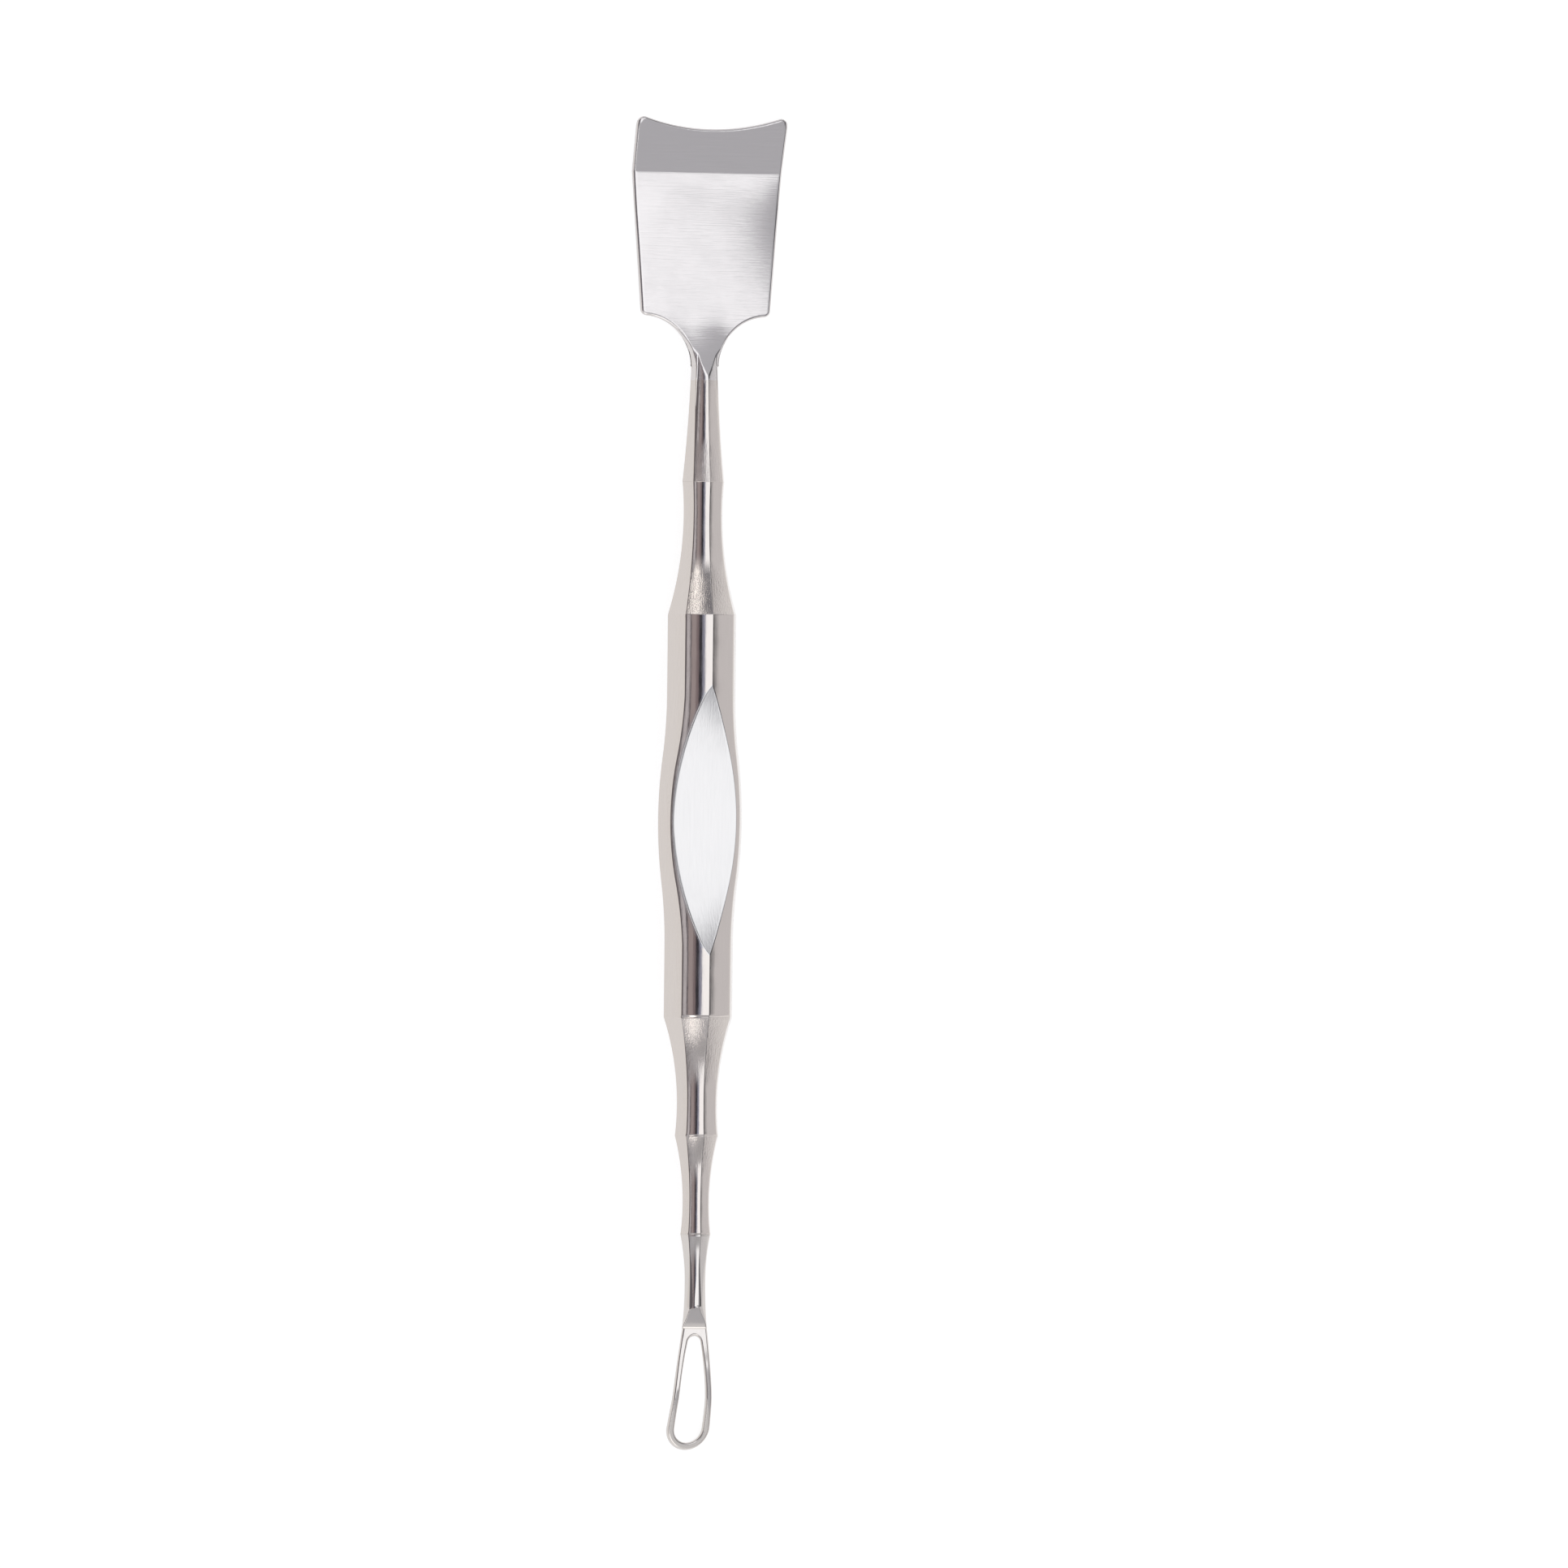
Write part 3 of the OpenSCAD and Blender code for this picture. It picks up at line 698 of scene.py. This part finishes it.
# distance of the bend from the loop's root, lean of the strip before and after it, and how soft it is
BEND = 6.9
STRIP_LEAN, BENT_LEAN = 4, 23
BEND_EASE = 0.7
# length of the small ground flats
GROUND_LONG = 2.15
# tang: end, tip's radius, where its full radius starts
LOOP_TANG_END, LOOP_TANG_TIP_R, LOOP_TANG_LEAD, LOOP_TANG_R = -38.8, 0.56, -39.04, 0.8


class Pear:
    """a round of end_r about (0, y), a round of root_r further up, and sides that bow out between them"""

    def __init__(self, y, end_r, root_r, up, side_r):
        far, near = side_r - end_r, side_r - root_r
        self.y, self.end_r, self.root_r, self.up, self.side_r = y, end_r, root_r, up, side_r
        self.side_y = (far * far - near * near + up * up) / (2 * up)
        self.side_x = sqrt(far * far - self.side_y ** 2)
        self.low = atan2(-self.side_y, self.side_x)
        self.high = atan2(up - self.side_y, self.side_x)

    def outside(self, x, y):
        """distance of a point outside the outline"""
        y -= self.y
        turn = atan2(y - self.side_y, x + self.side_x)
        if turn < self.low:
            return hypot(x, y) - self.end_r
        if turn > self.high:
            return hypot(x, y - self.up) - self.root_r
        return hypot(x + self.side_x, y - self.side_y) - self.side_r

    def side(self, share):
        """a point of the side, from its upper end to its lower end"""
        turn = self.high + (self.low - self.high) * share
        return Vector((self.side_r * cos(turn) - self.side_x, self.side_r * sin(turn) + self.side_y + self.y))

    def end(self, share):
        """a point of the lower round, from the side to the bottom"""
        turn = self.low + (-pi / 2 - self.low) * share
        return Vector((self.end_r * cos(turn), self.end_r * sin(turn) + self.y))

    def root(self, share):
        """a point of the upper round, from the top to the side"""
        turn = pi / 2 + (self.high - pi / 2) * share
        return Vector((self.root_r * cos(turn), self.root_r * sin(turn) + self.up + self.y))


# the rim and the eye: radii of their ends, of their roots and of their bowed sides
RIM_END_R, RIM_ROOT_R, RIM_SIDE_R = 2.25, 1.3, 100
EYE_END_R, EYE_ROOT_R, EYE_SIDE_R = 1.47, 0.67, 44
END_Y = Y_TIP + RIM_END_R
EYE_TOP = Y_LOOP - 0.75
RIM = Pear(END_Y, RIM_END_R, RIM_ROOT_R, Y_LOOP - END_Y, RIM_SIDE_R)
EYE = Pear(END_Y, EYE_END_R, EYE_ROOT_R, EYE_TOP - EYE_ROOT_R - END_Y, EYE_SIDE_R)


def loop_neck_flat(y):
    """half size across the loop's neck: a scallop, widening slowly again below its waist"""
    waist = Y_E - WAIST_EF
    return FLAT_EF + (arc_up(R_EF, y - waist) if y > waist else arc_up(60, waist - y))


def loop_ground_flat(y):
    """the flats ground above and below, in front of the strip: they start level with the neck's ridge"""
    below = Y_LOOP + GROUND_LONG - y
    return 1.115 - 0.24 * below - 0.045 * below * abs(below)


def loop_neck_round(y):
    """radius of the neck's edges: crisp at the handle, tumbled round towards the loop"""
    return EDGE_ROUND + 0.8 * ramp(y, Y_E - 2, Y_E - 7)


LOOP_NECK = Bar([(-157.5, loop_neck_flat, 7, SLIGHT), (-112.5, loop_neck_flat, 7, SLIGHT),
                 (-67.5, loop_neck_flat, 7, SLIGHT), (-22.5, loop_neck_flat, 14, CROWN),
                 (-ROOT_TURN, loop_ground_flat, 10, None), (22.5, loop_neck_flat, 9, SLIGHT),
                 (67.5, loop_neck_flat, 7, SLIGHT), (112.5, loop_neck_flat, 7, SLIGHT),
                 (157.5, loop_neck_flat, 9, SLIGHT), (180 - ROOT_TURN, loop_ground_flat, 8, None)],
                Y_LOOP, Y_E, loop_neck_round)


def strip_middle(y):
    """height of the strip's middle: it leans back a little, then bends further back"""
    off = max(Y_LOOP - y, 0.0)
    past = off - BEND
    more = tan(radians(BENT_LEAN)) - tan(radians(STRIP_LEAN))
    rest = (sqrt(BEND * BEND + BEND_EASE * BEND_EASE) - BEND) / 2
    bent = (past + sqrt(past * past + BEND_EASE * BEND_EASE)) / 2 - rest
    return -(off * tan(radians(STRIP_LEAN)) + more * bent)


def turned(u, v, y):
    """a point of the strip, u across it and v up from its middle, turned about the tool's axis"""
    turn = -radians(ROOT_TURN) * (1 - eased(ramp(y, Y_LOOP - 0.8, Y_LOOP - BEND)))
    # as wide to the lens as the solid's strip, which isn't turned
    u *= cos(ROLL) / cos(ROLL + turn)
    return (u * cos(turn) + v * sin(turn), y, v * cos(turn) - u * sin(turn) + strip_middle(y))


def rim_at(y):
    """half width of the loop's outline"""
    if y > RIM.side(0).y:
        return sqrt(max(RIM.root_r ** 2 - (y - RIM.y - RIM.up) ** 2, 0.0))
    return sqrt(RIM.side_r ** 2 - (y - RIM.y - RIM.side_y) ** 2) - RIM.side_x


def strip_rows(up, side):
    """half rows of one skin of the strip, from its middle or the eye to its outline"""
    middle, round_root, round_side, round_end = 12, 8, 52, 28
    edges = rounded_steps(LOOP_NOSE, 7)
    hidden = Y_LOOP + 0.3

    def across(start, end):
        """a row of the strip between two points of its plan, round at both outlines"""
        long = (end - start).length
        lead = [e / long * min(1.0, 0.49 * long / LOOP_NOSE) for e in edges]
        shares = lead + [lead[-1] + (1 - 2 * lead[-1]) * n / middle for n in range(1, middle)]
        row = []
        for share in shares + [1 - s for s in lead[::-1]]:
            u, y = start.lerp(end, share)
            if y >= Y_LOOP:
                edge = rim_at(Y_LOOP) - u
            elif y > EYE_TOP:
                edge = min(rim_at(y) - u, EYE.outside(u, y))
            else:
                edge = min(-RIM.outside(u, y), EYE.outside(u, y))
            lean = STRIP_LEAN if y > Y_LOOP - BEND else BENT_LEAN
            row.append(turned(side * u, up * LOOP_T / cos(radians(lean)) * nose(edge, LOOP_NOSE), y))
        return row

    # a closed end inside the neck, the web above the eye, the eye's root, its sides and its end
    rows = [[(0, hidden, 0)] * (2 * len(edges) + middle - 1)]
    web = [Y_LOOP - (Y_LOOP - EYE_TOP) * sin(pi / 2 * n / round_root) for n in range(1, round_root + 1)]
    for y in (hidden, (hidden + Y_LOOP) / 2, Y_LOOP, *web):
        rows.append(across(Vector((0, y)), Vector((rim_at(min(y, Y_LOOP)), y))))
    first = EYE.side(0).y
    for n in range(1, round_root + 1):
        y = EYE_TOP + (first - EYE_TOP) * n / round_root
        rows.append(across(EYE.root(n / round_root), Vector((rim_at(y), y))))
    for n in range(1, round_side + 1):
        y = first + (RIM.side(1).y - first) * n / round_side
        rows.append(across(EYE.side(n / round_side), Vector((rim_at(y), y))))
    for n in range(1, round_end + 1):
        rows.append(across(EYE.end(n / round_end), RIM.end(n / round_end)))
    return rows


def loop():
    bm = bmesh.new()
    satin = bm.verts.layers.float.new("satin")
    neck = LOOP_NECK.rows(spaced(Y_E - 0.01, Y_LOOP, 0.22, (Y_LOOP + GROUND_LONG - 0.1,)))
    tang = stub(neck[0], ((LOOP_TANG_END, 0), (LOOP_TANG_END, LOOP_TANG_TIP_R), (LOOP_TANG_LEAD, LOOP_TANG_R),
                          (-42, LOOP_TANG_R), (Y_E, LOOP_TANG_R), (Y_E, None)))
    sheet(bm, tang + neck + stub(neck[-1], ((Y_LOOP, 0),)))
    for up in (1, -1):
        for side in (1, -1):
            sheet(bm, strip_rows(up, side))
    # satin past the bend and beside the handle's crisp edge, brighter between
    for vert in bm.verts:
        y = vert.co.y
        vert[satin] = 0.9 if y < Y_LOOP - BEND else 0.4 if y < Y_LOOP + 2 else max(0.05, 0.8 - (Y_E - y) / 1.5)
    return finished(bm, "loop", "loop_tip", [loop_steel])


handle()
spade()
loop()
for name in ("blade_braze_ring", "loop_braze_ring"):
    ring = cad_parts[name]
    ring.data.materials.clear()
    ring.data.materials.append(filler)

# ---- floor: a white table that keeps the tool's shadow
floor_mesh = bpy.data.meshes.new("table_top")
bm = bmesh.new()
bmesh.ops.create_circle(bm, cap_ends=True, segments=96, radius=3.0)
bm.to_mesh(floor_mesh)
bm.free()
floor = bpy.data.objects.new("table_top", floor_mesh)
bpy.context.scene.collection.objects.link(floor)
# matt white card, shown as white to the camera and in the metal
card = bpy.data.materials.new("matt_white_card")
card.use_nodes = True
tree = card.node_tree
tree.nodes.clear()
path = node(tree, "LightPath")
seen = path.outputs["Is Camera Ray"]
for ray in ("Is Glossy Ray", "Is Transmission Ray"):
    seen = node(tree, "Math", {"operation": "MAXIMUM"}, {}, {0: seen, 1: path.outputs[ray]}).outputs["Value"]
glow = node(tree, "Emission", {}, {"Color": (1, 1, 1, 1), "Strength": 0.77})
matt = node(tree, "BsdfDiffuse", {}, {"Color": (0.42, 0.42, 0.42, 1)})
both = node(tree, "AddShader", {}, {}, {0: glow.outputs[0], 1: matt.outputs[0]})
plain = node(tree, "BsdfDiffuse", {}, {"Color": (0.8, 0.8, 0.8, 1)})
shown = node(tree, "MixShader", {}, {}, {0: seen, 1: plain.outputs[0], 2: both.outputs[0]})
node(tree, "OutputMaterial", {}, {}, {"Surface": shown.outputs[0]})
floor_mesh.materials.append(card)

# ---- the studio: a white tent, a large soft box over the right side, a gap in the tent left of the lens
world = bpy.data.worlds.new("light_tent")
bpy.context.scene.world = world
world.use_nodes = True
tree = world.node_tree
tree.nodes.clear()
way = node(tree, "TexCoord")
parts = node(tree, "SeparateXYZ", {}, {}, {0: way.outputs["Generated"]})
# A is the angle across the tool from straight up, to the right, and B the angle along the tool, to the spade
A = node(tree, "Math", {"operation": "ARCTAN2"}, {},
         {0: parts.outputs["X"], 1: parts.outputs["Z"]}).outputs["Value"]
B = node(tree, "Math", {"operation": "ARCSINE"}, {}, {0: parts.outputs["Y"]}).outputs["Value"]
# the lens looks down from this many degrees to the right
RIGHT = 4.3


def between(source, low, high, soft_low, soft_high):
    """1 between two angles in degrees, falling off softly outside them"""
    rise = node(tree, "MapRange", {"interpolation_type": "SMOOTHSTEP"},
                {"From Min": radians(low - soft_low), "From Max": radians(low)}, {"Value": source})
    fall = node(tree, "MapRange", {"interpolation_type": "SMOOTHSTEP"},
                {"From Min": radians(high), "From Max": radians(high + soft_high), "To Min": 1.0, "To Max": 0.0},
                {"Value": source})
    return node(tree, "Math", {"operation": "MULTIPLY"}, {},
                {0: rise.outputs["Result"], 1: fall.outputs["Result"]}).outputs["Value"]


def panel(under, colour, across, along, soft):
    """lays a lit or dark panel of the tent over what is there: angles from the lens across, and along the tool"""
    wide = between(A, RIGHT + across[0], RIGHT + across[1], soft[0], soft[1])
    long = between(B, along[0], along[1], soft[2], soft[-1])
    mask = node(tree, "Math", {"operation": "MULTIPLY"}, {}, {0: wide, 1: long})
    return node(tree, "Mix", {"data_type": "RGBA", "clamp_factor": True}, {7: (*colour, 1)},
                {0: mask.outputs["Value"], 6: under}).outputs[2]


# walls of the tent: warm on the left, cooler on the right
sky = node(tree, "MapRange", {"interpolation_type": "SMOOTHSTEP", "data_type": "FLOAT_VECTOR"},
           {7: (-1, -1, -1), 8: (1, 1, 1), 9: (1.0, 0.97, 0.95), 10: (0.83, 0.825, 0.85)},
           {6: parts.outputs["X"]}).outputs["Vector"]
# the roof, greyer, lighter past the loop's end
sky = panel(sky, (0.60, 0.605, 0.64), (-56, 54), (-90, 90), (22, 14, 1))
sky = panel(sky, (0.95, 0.95, 0.96), (-40, 50), (-90, -45), (22, 14, 3))
sky = panel(sky, (1.7, 1.7, 1.7), (-40, 30), (-90, -56), (22, 14, 4))
# darker left of the tool and beyond the soft box
sky = panel(sky, (0.18, 0.165, 0.18), (-52, -18.2), (-22, 30), (14, 0.4, 8))
sky = panel(sky, (0.12, 0.12, 0.13), (60, 77), (-50, 50), (8, 2.5, 8))
# warm ends of the tent, seen in the cones beside the crisp edges
sky = panel(sky, (3.1, 3.05, 2.97), (-14.6, -11.0), (23, 44), (1.2, 2.5, 9))
sky = panel(sky, (3.4, 3.35, 3.28), (-13.3, -10.8), (-42, -31), (1.2, 2.4, 6))
# the soft box: its right corners slant
aside = node(tree, "Math", {"operation": "ABSOLUTE"}, {}, {0: B})
slant = node(tree, "Math", {"operation": "MULTIPLY_ADD"}, {1: 1.1}, {0: aside.outputs["Value"], 2: A})
corner = node(tree, "MapRange", {"interpolation_type": "SMOOTHSTEP"},
              {"From Min": radians(44.6), "From Max": radians(52), "To Min": 1.0, "To Max": 0.0},
              {"Value": slant.outputs["Value"]})
lit = panel(sky, (1.46, 1.485, 1.53), (-5, 54), (-23, 26), (0.8, 6, 6))
sky = node(tree, "Mix", {"data_type": "RGBA", "clamp_factor": True}, {},
           {0: corner.outputs["Result"], 6: sky, 7: lit}).outputs[2]
# dark corners at its ends, beside the tent's gap
sky = panel(sky, (0.26, 0.26, 0.29), (-9, 8), (21, 42), (3, 9, 6, 5))
sky = panel(sky, (0.50, 0.50, 0.52), (-7, 8), (-26, -20), (3, 9, 5, 4))
# its cool left rim, the dark gap, dark and light brown cloth, a seam and the tent's edge
for colour, across, soft in (((0.38, 0.40, 0.52), (-6.2, -4.2), 0.5),
                             ((0.05, 0.048, 0.06), (-8.8, -6.4), 0.6),
                             ((0.29, 0.235, 0.25), (-10.8, -9.1), 0.6),
                             ((0.47, 0.41, 0.42), (-14.2, -11.1), 0.5),
                             ((0.13, 0.115, 0.13), (-15.5, -14.6), 0.25),
                             ((0.70, 0.68, 0.72), (-18.0, -15.7), 0.25)):
    sky = panel(sky, colour, across, (-7, 12), (soft, soft, 14, 9))
back = node(tree, "Background", {}, {"Strength": 1.0}, {"Color": sky})
node(tree, "OutputWorld", {}, {}, {"Surface": back.outputs[0]})

# ---- camera, as the photograph has it: turn and distance of the lens, pixels to the metre, width of the frame in
# pixels, and the middle of the frame from the tool's, in pixels to the right and up
TURN = radians(0.6)
LEANS = radians(RIGHT)
DISTANCE = 2.0
SCALE = 12260
FRAME_WIDTH = 1932
ASIDE, ABOVE = 103.2, 0.6
level = Vector((cos(LEANS), 0, -sin(LEANS)))
axis = Vector((0, 1, 0))
right = level * cos(TURN) + axis * sin(TURN)
up = axis * cos(TURN) - level * sin(TURN)
back_way = right.cross(up)
target = Vector((0, 0, FLAT_GRIP / 1000)) + right * (ASIDE / SCALE) + up * (ABOVE / SCALE)
camera_data = bpy.data.cameras.new("camera")
camera = bpy.data.objects.new("camera", camera_data)
bpy.context.scene.collection.objects.link(camera)
camera_data.sensor_width = 36
camera_data.lens = camera_data.sensor_width * DISTANCE / (FRAME_WIDTH / SCALE)
camera_data.clip_start = 0.01
turned_back = Matrix((right, up, back_way)).transposed().to_4x4()
camera.matrix_world = Matrix.Translation(target + back_way * DISTANCE) @ turned_back
bpy.context.scene.camera = camera
bpy.context.scene.view_settings.view_transform = "Standard"
